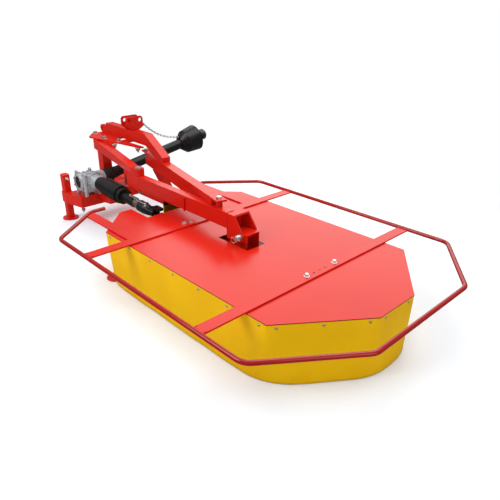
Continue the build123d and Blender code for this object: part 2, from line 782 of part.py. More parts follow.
# brace bolts: the latch bolt over the arm and the bolt at the inner end
with BuildPart() as brace_bolts:
    for distance, offset_across, low in ((latch_along, latch_across, arm_top + 1), (pivot_along, pivot_across, brace_top - 26)):
        with BuildSketch(Plane(origin=brace_point(distance, offset_across, low))):
            Circle(10)
        extrude(amount=brace_top - low)
        with BuildSketch(Plane(origin=brace_point(distance, offset_across, brace_top))):
            RegularPolygon(16, 6)
        extrude(amount=11)
brace_bolts.part.label = "brace_bolts"
export_step(brace_bolts.part, "parts/brace_bolts.step")

# swing pin: upright through the stay's lug, the arm's bush and the lower lug
lower_lug_top = arm_bottom - side_play
lower_lug_bottom = lower_lug_top - 14
with BuildPart() as swing_pin:
    with BuildSketch(Plane.XY.offset(lower_lug_bottom - 12)):
        with Locations((swing_x, swing_y)):
            Circle(swing_radius)
    extrude(amount=stay_right_z[1] - lower_lug_bottom + 12)
    with BuildSketch(Plane.XY.offset(stay_right_z[1])):
        with Locations((swing_x, swing_y)):
            Circle(swing_radius + 9)
    extrude(amount=9)
swing_pin.part.label = "swing_pin"
export_step(swing_pin.part, "parts/swing_pin.step")

# swing yoke: lower lug and the strut that ties it back to the base's wing and the stay
with BuildPart() as swing_yoke:
    with BuildSketch(Plane.XY.offset(lower_lug_bottom)):
        with BuildLine():
            Polyline(
                (swing_x, swing_y - 24),
                (-580, swing_y - 24),
                (-632, swing_y + 26),
                (-653, swing_y + 26),
                (-653, swing_y + 60),
                (swing_x, swing_y + 24),
                close=True,
            )
        make_face()
        with Locations((swing_x, swing_y)):
            Circle(24)
            Circle(swing_radius, mode=Mode.SUBTRACT)
    extrude(amount=lower_lug_top - lower_lug_bottom)
    with BuildSketch(Plane.XZ.offset(-(swing_y + 43))):
        with BuildLine():
            Polyline(
                (-653, lower_lug_bottom),
                (-653, stay_under(-653)),
                (-713, stay_under(-713)),
                (-713, lower_lug_top - 40),
                close=True,
            )
        make_face()
    extrude(amount=17, both=True)
swing_yoke.part.label = "swing_yoke"
export_step(swing_yoke.part, "parts/swing_yoke.step")

# gearbox: ribbed casting on corner posts, with lugs at its ends, a coned output housing and a neck to the power shaft
gear_x0, gear_x1 = -1105, -979
gear_y0, gear_y1 = -280, -165
gear_z0, gear_z1 = 236, 352
neck_end = -905
gear_mid_x, gear_mid_y, gear_mid_z = (gear_x0 + gear_x1) / 2, (gear_y0 + gear_y1) / 2, (gear_z0 + gear_z1) / 2
with BuildPart() as gearbox:
    with BuildSketch(Plane.XY.offset(gear_z0)):
        with Locations((gear_mid_x, gear_mid_y)):
            RectangleRounded(gear_x1 - gear_x0, gear_y1 - gear_y0, 16)
    extrude(amount=gear_z1 - gear_z0)
    fillet(faces().sort_by(Axis.Z)[-1].edges(), 10)
    for y in (gear_y0 + 26, gear_mid_y, gear_y1 - 26):
        with BuildSketch(Plane.XZ.offset(-y)):
            with Locations((gear_mid_x, gear_mid_z)):
                RectangleRounded(gear_x1 - gear_x0 + 14, gear_z1 - gear_z0 + 8, 10)
        extrude(amount=3, both=True)
    for x in (gear_mid_x - 24, gear_mid_x + 24):
        with BuildSketch(Plane.YZ.offset(x)):
            with Locations((gear_mid_y, gear_mid_z)):
                RectangleRounded(gear_y1 - gear_y0 + 6, gear_z1 - gear_z0 + 8, 10)
        extrude(amount=3, both=True)
    with BuildSketch(Plane.XY.offset(base_top)):
        with Locations((gear_mid_x, gear_mid_y)):
            with GridLocations(gear_x1 - gear_x0 - 6, gear_y1 - gear_y0 - 10, 2, 2):
                Circle(11)
    extrude(amount=gear_z1 - base_top)
    for y in (gear_y0, gear_y1 - 14):
        with BuildSketch(Plane.XZ.offset(-y)):
            for z in (base_top + 13, gear_z1 + 6):
                with Locations((gear_x0 + 4, z), (gear_x1 - 4, z)):
                    Circle(13)
        extrude(amount=-14)
    for radius, start, length in ((64, gear_x1, 12), (50, gear_x1 + 12, neck_end - gear_x1 - 12)):
        with BuildSketch(Plane.YZ.offset(start)):
            with Locations((drive_y, drive_z)):
                Circle(radius)
        extrude(amount=length, taper=0 if radius > 50 else 3)
    for turn in (0, 45, 90, 135):
        for start, breadth in ((gear_x1, 124), (neck_end - 20, 98)):
            with BuildSketch(Plane.YZ.offset(start)):
                with Locations((drive_y, drive_z)):
                    Rectangle(breadth, 5, rotation=turn)
        loft()
    with BuildSketch(Plane.XZ.offset(-gear_y1)):
        with Locations((pto_x, pto_z)):
            Circle(54)
    extrude(amount=-(pto_y - gear_y1))
    with BuildSketch(Plane.XZ.offset(-gear_y0)):
        with Locations((pto_x, pto_z)):
            Circle(58)
    extrude(amount=20)
    with BuildSketch(Plane.XZ.offset(-gear_y0)):
        with Locations((pto_x, pto_z)):
            Circle(42)
    extrude(amount=24, mode=Mode.SUBTRACT)
gearbox.part.label = "gearbox"
export_step(gearbox.part, "parts/gearbox.step")

# gearbox cap: dark cover in the rear flange
with BuildPart() as gearbox_cap:
    with BuildSketch(Plane.XZ.offset(-gear_y0)):
        with Locations((pto_x, pto_z)):
            Circle(42 - touch)
    extrude(amount=12)
gearbox_cap.part.label = "gearbox_cap"
export_step(gearbox_cap.part, "parts/gearbox_cap.step")

# ================================================================ parking leg
# square tube with a wider rounded head that hangs on the sleeve, and a round foot plate
with BuildPart() as parking_leg:
    with BuildSketch(Plane.XY.offset(foot_thick)):
        with Locations((leg_x, leg_y)):
            Rectangle(leg_size, leg_size)
            Rectangle(leg_size - 2 * leg_wall, leg_size - 2 * leg_wall, mode=Mode.SUBTRACT)
    extrude(amount=base_top + 1 - foot_thick)
    with BuildSketch(Plane.XY.offset(base_top + 1)):
        with Locations((leg_x, leg_y)):
            RectangleRounded(leg_head, leg_head, 7)
    extrude(amount=leg_top - base_top - 1)
    fillet(faces().sort_by(Axis.Z)[-1].edges(), 9)
    with BuildSketch(Plane.XY):
        with Locations((leg_x, leg_y)):
            Circle(foot_radius)
            with PolarLocations(foot_radius - 11, 4, start_angle=45):
                Circle(5, mode=Mode.SUBTRACT)
    extrude(amount=foot_thick)
parking_leg.part.label = "parking_leg"
export_step(parking_leg.part, "parts/parking_leg.step")

# ================================================================ drive shaft
# output guard: fixed collar round the joint at the gearbox
output_end = neck_end
with BuildPart() as output_guard:
    with BuildSketch(Plane.YZ.offset(neck_end)):
        with Locations((drive_y, drive_z)):
            Circle(47)
            Circle(42.2, mode=Mode.SUBTRACT)
    extrude(amount=knuckle_x - 5 - neck_end)
output_guard.part.label = "output_guard"
export_step(output_guard.part, "parts/output_guard.step")

# output fork: on the gearbox's shaft, its ears above and below the cross
with BuildPart() as output_fork:
    with BuildSketch(Plane.YZ.offset(output_end)):
        with Locations((drive_y, drive_z)):
            Circle(core_radius)
    extrude(amount=knuckle_x - cross_half - output_end)
    with BuildSketch(Plane.YZ.offset(knuckle_x - cross_half - 6)):
        with Locations((drive_y, drive_z)):
            Circle(cross_half)
    extrude(amount=6)
    with BuildSketch(Plane.XZ.offset(-drive_y)):
        with Locations(
            (knuckle_x - (cross_half - fork_half) / 2, drive_z - (fork_in + cross_half) / 2),
            (knuckle_x - (cross_half - fork_half) / 2, drive_z + (fork_in + cross_half) / 2),
        ):
            Rectangle(cross_half + fork_half, cross_half - fork_in)
    extrude(amount=fork_half, both=True)
    with Locations((knuckle_x, drive_y, drive_z)):
        Cylinder(cross_radius + fit, 3 * cross_half, mode=Mode.SUBTRACT)
output_fork.part.label = "output_fork"
export_step(output_fork.part, "parts/output_fork.step")

with BuildPart() as shaft_cross:
    with Locations((knuckle_x, drive_y, drive_z)):
        Box(2 * cross_radius + 6, 2 * cross_radius + 6, 2 * cross_radius + 6)
        Cylinder(cross_radius, 2 * cross_half)
        Cylinder(cross_radius, 2 * cross_half, rotation=(90, 0, 0))
shaft_cross.part.label = "shaft_cross"
export_step(shaft_cross.part, "parts/shaft_cross.step")

# sloping axis of the drive shaft, from joint to joint
shaft_run = hypot(stub_x - knuckle_x, stub_z - drive_z)
shaft_dir = Vector(stub_x - knuckle_x, 0, stub_z - drive_z) / shaft_run
shaft_plane = Plane(origin=(knuckle_x, drive_y, drive_z), x_dir=(0, 1, 0), z_dir=shaft_dir)
bell_start, bell_end = 6, 190
tube_end = 362
sleeve_end = 420
with BuildPart() as shaft_fork:
    with BuildSketch(shaft_plane.offset(cross_half + 6)):
        Circle(core_radius)
    extrude(amount=bell_end - cross_half - 6)
    with BuildSketch(shaft_plane.offset(cross_half)):
        Circle(cross_half)
    extrude(amount=6)
    with BuildSketch(shaft_plane.offset(-fork_half)):
        with Locations(((fork_in + cross_half) / 2, 0), (-(fork_in + cross_half) / 2, 0)):
            Rectangle(cross_half - fork_in, 2 * fork_half)
    extrude(amount=cross_half + fork_half)
    with Locations((knuckle_x, drive_y, drive_z)):
        Cylinder(cross_radius + fit, 3 * cross_half, rotation=(90, 0, 0), mode=Mode.SUBTRACT)
shaft_fork.part.label = "shaft_fork"
export_step(shaft_fork.part, "parts/shaft_fork.step")

# clutch guard: black bell over the joint, closed by a ring on the shaft, with the outer tube behind it
with BuildPart() as clutch_guard:
    with BuildSketch(shaft_plane.offset(bell_start)):
        Circle(bell_radius)
        Circle(bell_radius - bell_wall, mode=Mode.SUBTRACT)
    extrude(amount=bell_end - bell_start)
    with BuildSketch(shaft_plane.offset(bell_end)):
        Circle(bell_radius)
    extrude(amount=6)
    with BuildSketch(shaft_plane.offset(bell_end + 6)):
        Circle(bell_radius - 8)
        Circle(tube_inner, mode=Mode.SUBTRACT)
    extrude(amount=40)
clutch_guard.part.label = "clutch_guard"
export_step(clutch_guard.part, "parts/clutch_guard.step")

with BuildPart() as outer_tube:
    with BuildSketch(shaft_plane.offset(bell_end + 46)):
        Circle(tube_outer)
        Circle(tube_inner, mode=Mode.SUBTRACT)
    extrude(amount=tube_end - bell_end - 46)
outer_tube.part.label = "outer_tube"
export_step(outer_tube.part, "parts/outer_tube.step")

# inner tube: bare sleeve that slides in the outer tube, with the black end and the last fork
loose_eye = cross_radius + 6
with BuildPart() as inner_tube:
    with BuildSketch(shaft_plane.offset(bell_end + 66)):
        Circle(tube_inner - fit)
    extrude(amount=sleeve_end - bell_end - 66)
    with BuildSketch(shaft_plane.offset(sleeve_end)):
        Circle(tube_outer + 3)
    extrude(amount=60)
    with BuildSketch(shaft_plane.offset(sleeve_end + 60)):
        Circle(tube_outer + 3)
    with BuildSketch(shaft_plane.offset(shaft_run - cross_half - 26)):
        Circle(core_radius + 6)
    loft()
    with BuildSketch(shaft_plane.offset(shaft_run - cross_half - 26)):
        Circle(core_radius + 6)
    extrude(amount=14)
    with BuildSketch(shaft_plane.offset(shaft_run - cross_half - 12)):
        RectangleRounded(2 * fork_half + 12, 2 * (cross_half + 24), 8)
    extrude(amount=8)
    with BuildSketch(shaft_plane.offset(shaft_run - cross_half - 12)):
        with Locations((0, cross_half + 16), (0, -cross_half - 16)):
            Rectangle(2 * fork_half + 12, 16)
    extrude(amount=cross_half + 12 + fork_half + 8)
inner_tube.part.label = "inner_tube"
export_step(inner_tube.part, "parts/inner_tube.step")

# ================================================================ power take-off shaft
pto_dir = Vector(0, cos(radians(pto_rise)), sin(radians(pto_rise)))
pto_plane = Plane(origin=(pto_x, pto_y, pto_z), x_dir=(1, 0, 0), z_dir=pto_dir)
neck_flare = (pto_step_radius - pto_neck_radius) / (pto_bell_step - pto_bell_start)
bell_flare = (pto_bell_radius - pto_step_radius) / (pto_bell_end - pto_bell_step)


def bell_radius(along):
    """Outside radius of the bell at a distance along the shaft."""
    if along < pto_bell_step:
        return pto_neck_radius + (along - pto_bell_start) * neck_flare
    return pto_step_radius + (along - pto_bell_step) * bell_flare


guard_eye_out = pto_dir.cross(Vector(-1, 0, 0)) * (bell_radius(guard_eye_along) + guard_eye_lift)
guard_eye = pto_plane.origin + pto_dir * guard_eye_along + guard_eye_out
with BuildPart() as pto_guard:
    with BuildSketch(Plane.XZ.offset(-pto_y)):
        with Locations((pto_x, pto_z)):
            Circle(50)
    with BuildSketch(pto_plane.offset(110)):
        Circle(pto_tube + 2)
    loft()
    with BuildSketch(pto_plane.offset(110)):
        Circle(pto_tube)
    extrude(amount=pto_bell_start - 110)
    for inset, mode in ((0, Mode.ADD), (pto_tube_wall, Mode.SUBTRACT)):
        with BuildSketch(pto_plane.offset(pto_bell_start + inset)):
            Circle(pto_neck_radius - inset)
        with BuildSketch(pto_plane.offset(pto_bell_step)):
            Circle(pto_step_radius - inset)
        loft(mode=mode)
        with BuildSketch(pto_plane.offset(pto_bell_step)):
            Circle(pto_step_radius - inset)
        with BuildSketch(pto_plane.offset(pto_bell_end)):
            Circle(pto_bell_radius - inset)
        loft(mode=mode)
    with BuildSketch(Plane(origin=guard_eye, x_dir=pto_dir, z_dir=(1, 0, 0))):
        Circle(eye_radius)
        Circle(eye_hole, mode=Mode.SUBTRACT)
    extrude(amount=eye_thick / 2, both=True)
    with BuildSketch(pto_plane.offset(40)):
        Circle(pto_tube - pto_tube_wall)
    extrude(amount=pto_bell_start - 80, mode=Mode.SUBTRACT)
    with BuildSketch(pto_plane.offset(14)):
        Circle(core_radius + fit)
    extrude(amount=pto_bell_end - 14, mode=Mode.SUBTRACT)
pto_guard.part.label = "pto_guard"
export_step(pto_guard.part, "parts/pto_guard.step")

# power shaft: free to turn in the guard, with the tractor's splined yoke at its end
with BuildPart() as pto_core:
    with BuildSketch(pto_plane.offset(20)):
        Circle(core_radius)
    extrude(amount=pto_bell_end - 20)
    for start, radius, length in ((pto_bell_end, 35, 46), (pto_bell_end + 46, yoke_radius, 37)):
        with BuildSketch(pto_plane.offset(start)):
            Circle(radius)
        extrude(amount=length)
    with BuildSketch(pto_plane.offset(pto_bell_end + 83)):
        Circle(yoke_radius)
    with BuildSketch(pto_plane.offset(yoke_end)):
        Circle(yoke_radius - 12)
    loft()
    with BuildSketch(pto_plane.offset(yoke_end)):
        Circle(spline_radius)
    extrude(amount=-60, mode=Mode.SUBTRACT)
pto_core.part.label = "pto_core"
export_step(pto_core.part, "parts/pto_core.step")

# guard chain: round-wire links and two shackles, from the eye on the top link bracket to the eye on the guard
link_wire, link_width, shackle_width, link_target = 2.2, 6.4, 12.4, 21
near_eye = Vector(ear_x[1], chain_eye_y, chain_eye_z)
with BuildLine():
    chain_run = Spline(
        near_eye + Vector(0, 0.81, -0.59) * (eye_hole - eye_play),
        (-936, 265, 597),
        (-962, 341, 554),
        (-1001, 457, 513),
        guard_eye - Vector(-0.32, 0.92, -0.22) * (eye_hole - eye_play),
    )
link_count = 2 * round(chain_run.length / (2 * link_target)) + 1
link_inner = chain_run.length / link_count + 0.2


def chain_link(inner_width):
    """Oval link of six-sided wire with cut corners, its long side along X."""
    side = inner_width / 2 + link_wire
    end = link_inner / 2 + link_wire
    corner = side * (1 - tan(radians(22.5)))
    with BuildPart() as link_solid:
        with BuildLine():
            Polyline(
                (0, side),
                (end - corner, side),
                (end, side - corner),
                (end, corner - side),
                (end - corner, -side),
                (corner - end, -side),
                (-end, corner - side),
                (-end, side - corner),
                (corner - end, side),
                (0, side),
            )
        with BuildSketch(Plane(origin=(0, side, 0), z_dir=(1, 0, 0))):
            RegularPolygon(link_wire, 6)
        sweep(transition=Transition.RIGHT)
    return link_solid.part


shackle, plain_link = chain_link(shackle_width), chain_link(link_width)
with BuildPart() as chain:
    for link in range(link_count):
        place = (link + 0.5) / link_count
        heading = chain_run % place
        level = heading.cross(Vector(0, 0, 1)).normalized()
        broadside = level if link % 2 == 0 else heading.cross(level)
        with Locations(Plane(origin=chain_run @ place, x_dir=heading, z_dir=heading.cross(broadside))):
            add(shackle if link in (0, link_count - 1) else plain_link)
chain.part.label = "chain"
export_step(chain.part, "parts/chain.step")
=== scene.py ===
import bpy
import bmesh
import json
import math
from mathutils import Matrix, Vector


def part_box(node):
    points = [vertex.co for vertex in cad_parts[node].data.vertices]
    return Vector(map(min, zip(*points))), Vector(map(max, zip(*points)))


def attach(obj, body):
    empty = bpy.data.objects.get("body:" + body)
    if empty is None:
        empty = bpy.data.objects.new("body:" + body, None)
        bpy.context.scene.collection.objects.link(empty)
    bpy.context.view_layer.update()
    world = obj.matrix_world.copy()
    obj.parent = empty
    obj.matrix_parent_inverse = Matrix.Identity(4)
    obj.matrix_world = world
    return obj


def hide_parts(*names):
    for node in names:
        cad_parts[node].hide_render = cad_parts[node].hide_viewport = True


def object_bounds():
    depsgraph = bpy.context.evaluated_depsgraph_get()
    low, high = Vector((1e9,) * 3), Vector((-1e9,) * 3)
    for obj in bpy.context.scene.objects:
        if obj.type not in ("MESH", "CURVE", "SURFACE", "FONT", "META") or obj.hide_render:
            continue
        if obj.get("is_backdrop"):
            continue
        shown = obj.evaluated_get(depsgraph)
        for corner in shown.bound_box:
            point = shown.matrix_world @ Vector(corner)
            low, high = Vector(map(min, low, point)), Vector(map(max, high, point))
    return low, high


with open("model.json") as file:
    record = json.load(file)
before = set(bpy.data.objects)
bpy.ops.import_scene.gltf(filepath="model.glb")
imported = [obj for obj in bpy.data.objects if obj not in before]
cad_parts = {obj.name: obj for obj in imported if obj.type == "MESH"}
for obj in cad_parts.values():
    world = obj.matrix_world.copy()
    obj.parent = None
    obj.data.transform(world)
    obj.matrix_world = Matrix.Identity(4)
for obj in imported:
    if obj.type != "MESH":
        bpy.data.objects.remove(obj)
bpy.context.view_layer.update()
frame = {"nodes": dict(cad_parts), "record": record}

# Camera: standing off the outer rear corner, looking down over the deck at the headstock.
# A 36 mm lens, level to within a degree.
bpy.ops.object.camera_add(
    location=(2.195, -1.770, 1.398),
    rotation=(math.radians(64.469), math.radians(-0.657), math.radians(46.162)),
)
camera = bpy.context.object
camera.name = "camera"
camera.data.sensor_width = 36
camera.data.lens = 36.256
camera.data.clip_start = 0.05
camera.data.clip_end = 60
bpy.context.scene.camera = camera
bpy.context.scene.view_settings.view_transform = "Standard"

# Studio light: one broad soft lamp high over the left shoulder, one overhead, a low one behind that
# shines back from the upper faces, and a weak fill from the camera's side.
for name, place, aim, size, power, tint in (
    ("key", (-1.2, -3.4, 3.6), (0.0, 0.0, 0.2), 3.2, 118, (1.0, 0.985, 0.96)),
    ("top", (0.4, 1.2, 4.2), (0.0, 0.0, 0.2), 3.6, 84, (1.0, 1.0, 1.0)),
    ("back", (-1.8, 2.9, 2.4), (0.3, -0.3, 0.3), 4.4, 66, (1.0, 0.95, 0.91)),
    ("fill", (4.6, -1.0, 1.8), (0.3, -0.2, 0.2), 2.6, 26, (0.95, 0.98, 1.0)),
):
    bpy.ops.object.light_add(type="AREA", location=place)
    lamp = bpy.context.object
    lamp.name = "lamp_" + name
    lamp.rotation_euler = (Vector(aim) - Vector(place)).to_track_quat("-Z", "Y").to_euler()
    lamp.data.shape = "DISK"
    lamp.data.size = size
    lamp.data.energy = power
    lamp.data.color = tint


class Signal:
    """An output socket in a node tree. Adding or multiplying it adds a Math node."""

    def __init__(self, tree, socket):
        self.tree = tree
        self.socket = socket

    def make(self, kind, values=None, out=0, **settings):
        """A new node of that kind, set up and fed, as the signal from one of its outputs."""
        node = self.tree.nodes.new(kind)
        for name, value in settings.items():
            setattr(node, name, value)
        for key, value in (values or {}).items():
            if isinstance(value, Signal):
                self.tree.links.new(value.socket, node.inputs[key])
            else:
                node.inputs[key].default_value = value
        return Signal(self.tree, node.outputs[out] if node.outputs else None)

    def __add__(self, other):
        return self.make("ShaderNodeMath", {0: self, 1: other}, operation="ADD")

    def __mul__(self, other):
        return self.make("ShaderNodeMath", {0: self, 1: other}, operation="MULTIPLY")

    def between(self, low, high, start=0.0, end=1.0):
        """This signal's stretch from low to high, eased onto start to end."""
        return self.make(
            "ShaderNodeMapRange",
            {"Value": self, "From Min": low, "From Max": high, "To Min": start, "To Max": end},
            interpolation_type="SMOOTHSTEP",
        )

    def mix(self, first, second):
        """Colour from first to second as this signal goes from 0 to 1."""
        first, second = (
            value if isinstance(value, Signal) else (*value, 1.0) for value in (first, second)
        )
        return self.make("ShaderNodeMix", {0: self, 6: first, 7: second}, out=2, data_type="RGBA")


class Finish(Signal):
    """A material with a Principled shader. As a signal, it is the object's own coordinates in metres."""

    def __init__(self, name, **uniform):
        self.material = bpy.data.materials.new(name)
        self.material.use_nodes = True
        tree = self.material.node_tree
        self.shader = tree.nodes["Principled BSDF"]
        super().__init__(tree, tree.nodes.new("ShaderNodeTexCoord").outputs["Object"])
        for key, value in uniform.items():
            self.shader.inputs[key.replace("_", " ")].default_value = value

    def noise(self, scale, detail=2.0, roughness=0.5, stretch=None):
        """Noise from 0 to 1, its grain 1/scale metres, drawn out along the axes by stretch."""
        place = self
        if stretch:
            place = self.make("ShaderNodeMapping", {"Vector": self, "Scale": stretch})
        return self.make(
            "ShaderNodeTexNoise",
            {"Vector": place, "Scale": scale, "Detail": detail, "Roughness": roughness},
        )

    def feed(self, **varying):
        for key, value in varying.items():
            self.tree.links.new(value.socket, self.shader.inputs[key.replace("_", " ")])

    def relief(self, height, depth, strength=1.0, corner=0.0):
        """Bump from the height signal, over corners softened by that radius."""
        values = {"Height": height, "Distance": depth, "Strength": strength}
        if corner:
            values["Normal"] = self.make("ShaderNodeBevel", {"Radius": corner}, samples=4)
        self.feed(Normal=self.make("ShaderNodeBump", values))


# World and floor: white for the camera, and for reflections a sky that is bright overhead and dim at the
# horizon. The floor is a pale matt sheet that takes the soft shadow and fades to white further out.
world = bpy.data.worlds.new("studio")
bpy.context.scene.world = world
world.use_nodes = True
world.node_tree.nodes.clear()
sky = Signal(world.node_tree, world.node_tree.nodes.new("ShaderNodeTexCoord").outputs["Generated"])
up = sky.make("ShaderNodeSeparateXYZ", {"Vector": sky}, out=2)
glow = up.between(-0.05, 0.5).mix((0.16, 0.16, 0.17), (0.98, 0.98, 0.99))
seen = sky.make("ShaderNodeLightPath", out=0)
lit = sky.make("ShaderNodeBackground", {"Color": glow, "Strength": 0.45})
white = sky.make("ShaderNodeBackground", {"Color": (1, 1, 1, 1), "Strength": 1.0})
both = sky.make("ShaderNodeMixShader", {0: seen, 1: lit, 2: white})
sky.make("ShaderNodeOutputWorld", {"Surface": both})

bpy.ops.mesh.primitive_grid_add(x_subdivisions=8, y_subdivisions=8, size=24, location=(0, 0, -0.0005))
floor = bpy.context.object
floor.name = "floor"
floor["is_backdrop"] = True
paper = Finish("pale_floor", Roughness=0.95, Specular_IOR_Level=0.0)
paper.feed(Base_Color=paper.noise(0.7, 3).mix((0.82, 0.87, 0.94), (0.85, 0.90, 0.97)))
seen = paper.make("ShaderNodeLightPath", out=0)
no_glare = paper.make("ShaderNodeEmission", {"Strength": 0.0})
glare = paper.make("ShaderNodeEmission", {"Color": (1, 1, 1, 1), "Strength": 0.16})
camera_only = paper.make("ShaderNodeMixShader", {0: seen, 1: no_glare, 2: glare})
sheet_and_glare = paper.make(
    "ShaderNodeAddShader", {0: Signal(paper.tree, paper.shader.outputs[0]), 1: camera_only}
)
distance = paper.make("ShaderNodeVectorMath", {0: paper}, out=1, operation="LENGTH")
far = distance.between(1.6, 2.6) * seen
dim = paper.make("ShaderNodeBsdfDiffuse", {"Color": (0.16, 0.16, 0.16, 1)})
in_gloss = paper.make("ShaderNodeLightPath", out=3)
sheet_and_glare = paper.make("ShaderNodeMixShader", {0: in_gloss, 1: sheet_and_glare, 2: dim})
beyond = paper.make("ShaderNodeEmission", {"Color": (1, 1, 1, 1), "Strength": 1.0})
faded = paper.make("ShaderNodeMixShader", {0: far, 1: sheet_and_glare, 2: beyond})
paper.tree.links.new(faded.socket, paper.tree.nodes["Material Output"].inputs["Surface"])
floor.data.materials.append(paper.material)

# Paint: gloss red over steel, with faint orange peel, a slow drift in tone and fine dust that dulls
# it in patches.
red = Finish("gloss_red", Roughness=0.24, Specular_IOR_Level=0.36)
drift = red.noise(1.6, 2)
dust = red.noise(34, 4, 0.6).between(0.35, 0.8)
red.feed(
    Base_Color=drift.between(0.3, 0.7).mix((0.66, 0.011, 0.003), (0.74, 0.016, 0.005)),
    Roughness=dust.between(0.0, 1.0, 0.22, 0.27),
)
red.relief(red.noise(300, 2), 0.0004, 0.10, corner=0.0022)

# Pipe red: the same paint, glossier, on the bent guard pipe, in a deeper tone that is painted shade.
pipe_red_painted_shade = Finish("pipe_red_painted_shade", Roughness=0.2, Specular_IOR_Level=0.5)
pipe_red_painted_shade.feed(
    # Painted shade: a darker copy of the gloss red.
    Base_Color=pipe_red_painted_shade.noise(1.6, 2).between(0.3, 0.7).mix((0.34, 0.004, 0.003), (0.42, 0.006, 0.004)),
    Roughness=pipe_red_painted_shade.noise(34, 4, 0.6).between(0.35, 0.8, 0.11, 0.16),
)
pipe_red_painted_shade.relief(pipe_red_painted_shade.noise(300, 2), 0.0004, 0.10)

# Cover red: the same paint on the deck's sheet, with painted shade on the faces of its cut edge:
# the less a face points up, the darker red it is painted.
cover_red_edge_shaded = Finish("cover_red_edge_shaded", Roughness=0.24, Specular_IOR_Level=0.36)
normal = cover_red_edge_shaded.make("ShaderNodeNewGeometry", out=3)
painted_shade_facing = cover_red_edge_shaded.make("ShaderNodeSeparateXYZ", {"Vector": normal}, out=2)
cover_tone = cover_red_edge_shaded.noise(1.6, 2).between(0.3, 0.7).mix((0.66, 0.011, 0.003), (0.74, 0.016, 0.005))
cover_red_edge_shaded.feed(
    # Painted shade: faces turned away from straight up are mixed towards a dark red.
    Base_Color=painted_shade_facing.between(0.3, 0.8).mix((0.24, 0.004, 0.002), cover_tone),
    Roughness=cover_red_edge_shaded.noise(34, 4, 0.6).between(0.35, 0.8, 0.22, 0.27),
)
cover_red_edge_shaded.relief(cover_red_edge_shaded.noise(300, 2), 0.0004, 0.10)

# Cast aluminium: sand-cast grain, duller in the hollows.
alloy = Finish("cast_alloy", Metallic=0.45, Roughness=0.5)
grain = alloy.noise(260, 4, 0.65)
alloy.feed(
    Base_Color=alloy.noise(18, 4).between(0.3, 0.7).mix((0.40, 0.42, 0.45), (0.60, 0.62, 0.66)),
    Roughness=grain.between(0.3, 0.7, 0.40, 0.58),
)
alloy.relief(grain, 0.0012, 0.35, corner=0.002)

# Black plastic: moulded guards with a fine grain and a low sheen.
plastic = Finish("black_plastic", Roughness=0.34, Specular_IOR_Level=0.34)
plastic.feed(
    Base_Color=plastic.noise(14, 3).mix((0.004, 0.004, 0.005), (0.010, 0.010, 0.011)),
    Roughness=plastic.noise(30, 4).between(0.3, 0.7, 0.26, 0.36),
)
plastic.relief(plastic.noise(700, 3), 0.0006, 0.25, corner=0.0015)

# Rubber: dull black with a chalky bloom.
rubber = Finish("black_rubber", Roughness=0.72, Specular_IOR_Level=0.3)
bloom = rubber.noise(60, 5, 0.6)
rubber.feed(
    Base_Color=bloom.between(0.4, 0.8).mix((0.012, 0.012, 0.012), (0.035, 0.034, 0.033)),
    Roughness=bloom.between(0.3, 0.8, 0.62, 0.82),
)
rubber.relief(rubber.noise(400, 3), 0.0008, 0.3, corner=0.0015)

# Zinc: bright plated fasteners and pins, with the grain of drawn bar.
zinc = Finish("zinc_plate", Metallic=1.0, Roughness=0.25)
zinc.feed(
    Base_Color=zinc.noise(90, 3).mix((0.60, 0.60, 0.61), (0.78, 0.78, 0.77)),
    Roughness=zinc.noise(160, 4).between(0.3, 0.7, 0.18, 0.36),
)
zinc.relief(zinc.noise(500, 2), 0.0004, 0.2, corner=0.0008)

# Dark steel: forged and phosphated shaft parts, thinly oiled.
forged = Finish("dark_steel", Metallic=0.85, Roughness=0.4)
mill_scale = forged.noise(120, 5, 0.6)
forged.feed(
    Base_Color=mill_scale.between(0.3, 0.7).mix((0.035, 0.034, 0.034), (0.10, 0.098, 0.095)),
    Roughness=mill_scale.between(0.3, 0.7, 0.3, 0.5),
)
forged.relief(mill_scale, 0.0008, 0.3, corner=0.0012)

# Knife steel: ground blades with lengthwise scratches.
blade = Finish("knife_steel", Metallic=1.0, Roughness=0.35)
lines = blade.noise(60, 4, 0.6, stretch=(1, 14, 1))
blade.feed(
    Base_Color=lines.mix((0.24, 0.24, 0.25), (0.42, 0.42, 0.43)),
    Roughness=lines.between(0.3, 0.7, 0.28, 0.46),
)
blade.relief(lines, 0.0005, 0.25, corner=0.0006)

# Worn tube: the bare stretch of the telescoping shaft, browned by grease and scratched round about,
# between the black guard and the black end.
worn = Finish("worn_tube", Metallic=0.6, Roughness=0.35)
across = worn.make("ShaderNodeSeparateXYZ", {"Vector": worn}, out=0)
smear = worn.noise(30, 4, 0.6, stretch=(5, 1, 1))
steel = smear.between(0.3, 0.7).mix((0.10, 0.075, 0.055), (0.30, 0.25, 0.20))
tube_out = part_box("outer_tube")[1].x
bare = across.between(tube_out + 0.062, tube_out + 0.064)
worn.feed(
    Base_Color=bare.mix(steel, (0.006, 0.006, 0.007)),
    Metallic=bare.between(0.0, 1.0, 0.7, 0.0),
    Roughness=smear.between(0.3, 0.7, 0.28, 0.42),
)
worn.relief(smear, 0.0005, 0.25, corner=0.001)

# Brass: the coil at the end of the guard tether.
brass = Finish("brass_coil", Metallic=1.0, Roughness=0.3)
drawn = brass.noise(200, 3)
brass.feed(
    Base_Color=drawn.mix((0.62, 0.42, 0.16), (0.80, 0.60, 0.30)),
    Roughness=drawn.between(0.3, 0.7, 0.22, 0.38),
)
brass.relief(drawn, 0.0004, 0.2, corner=0.0006)

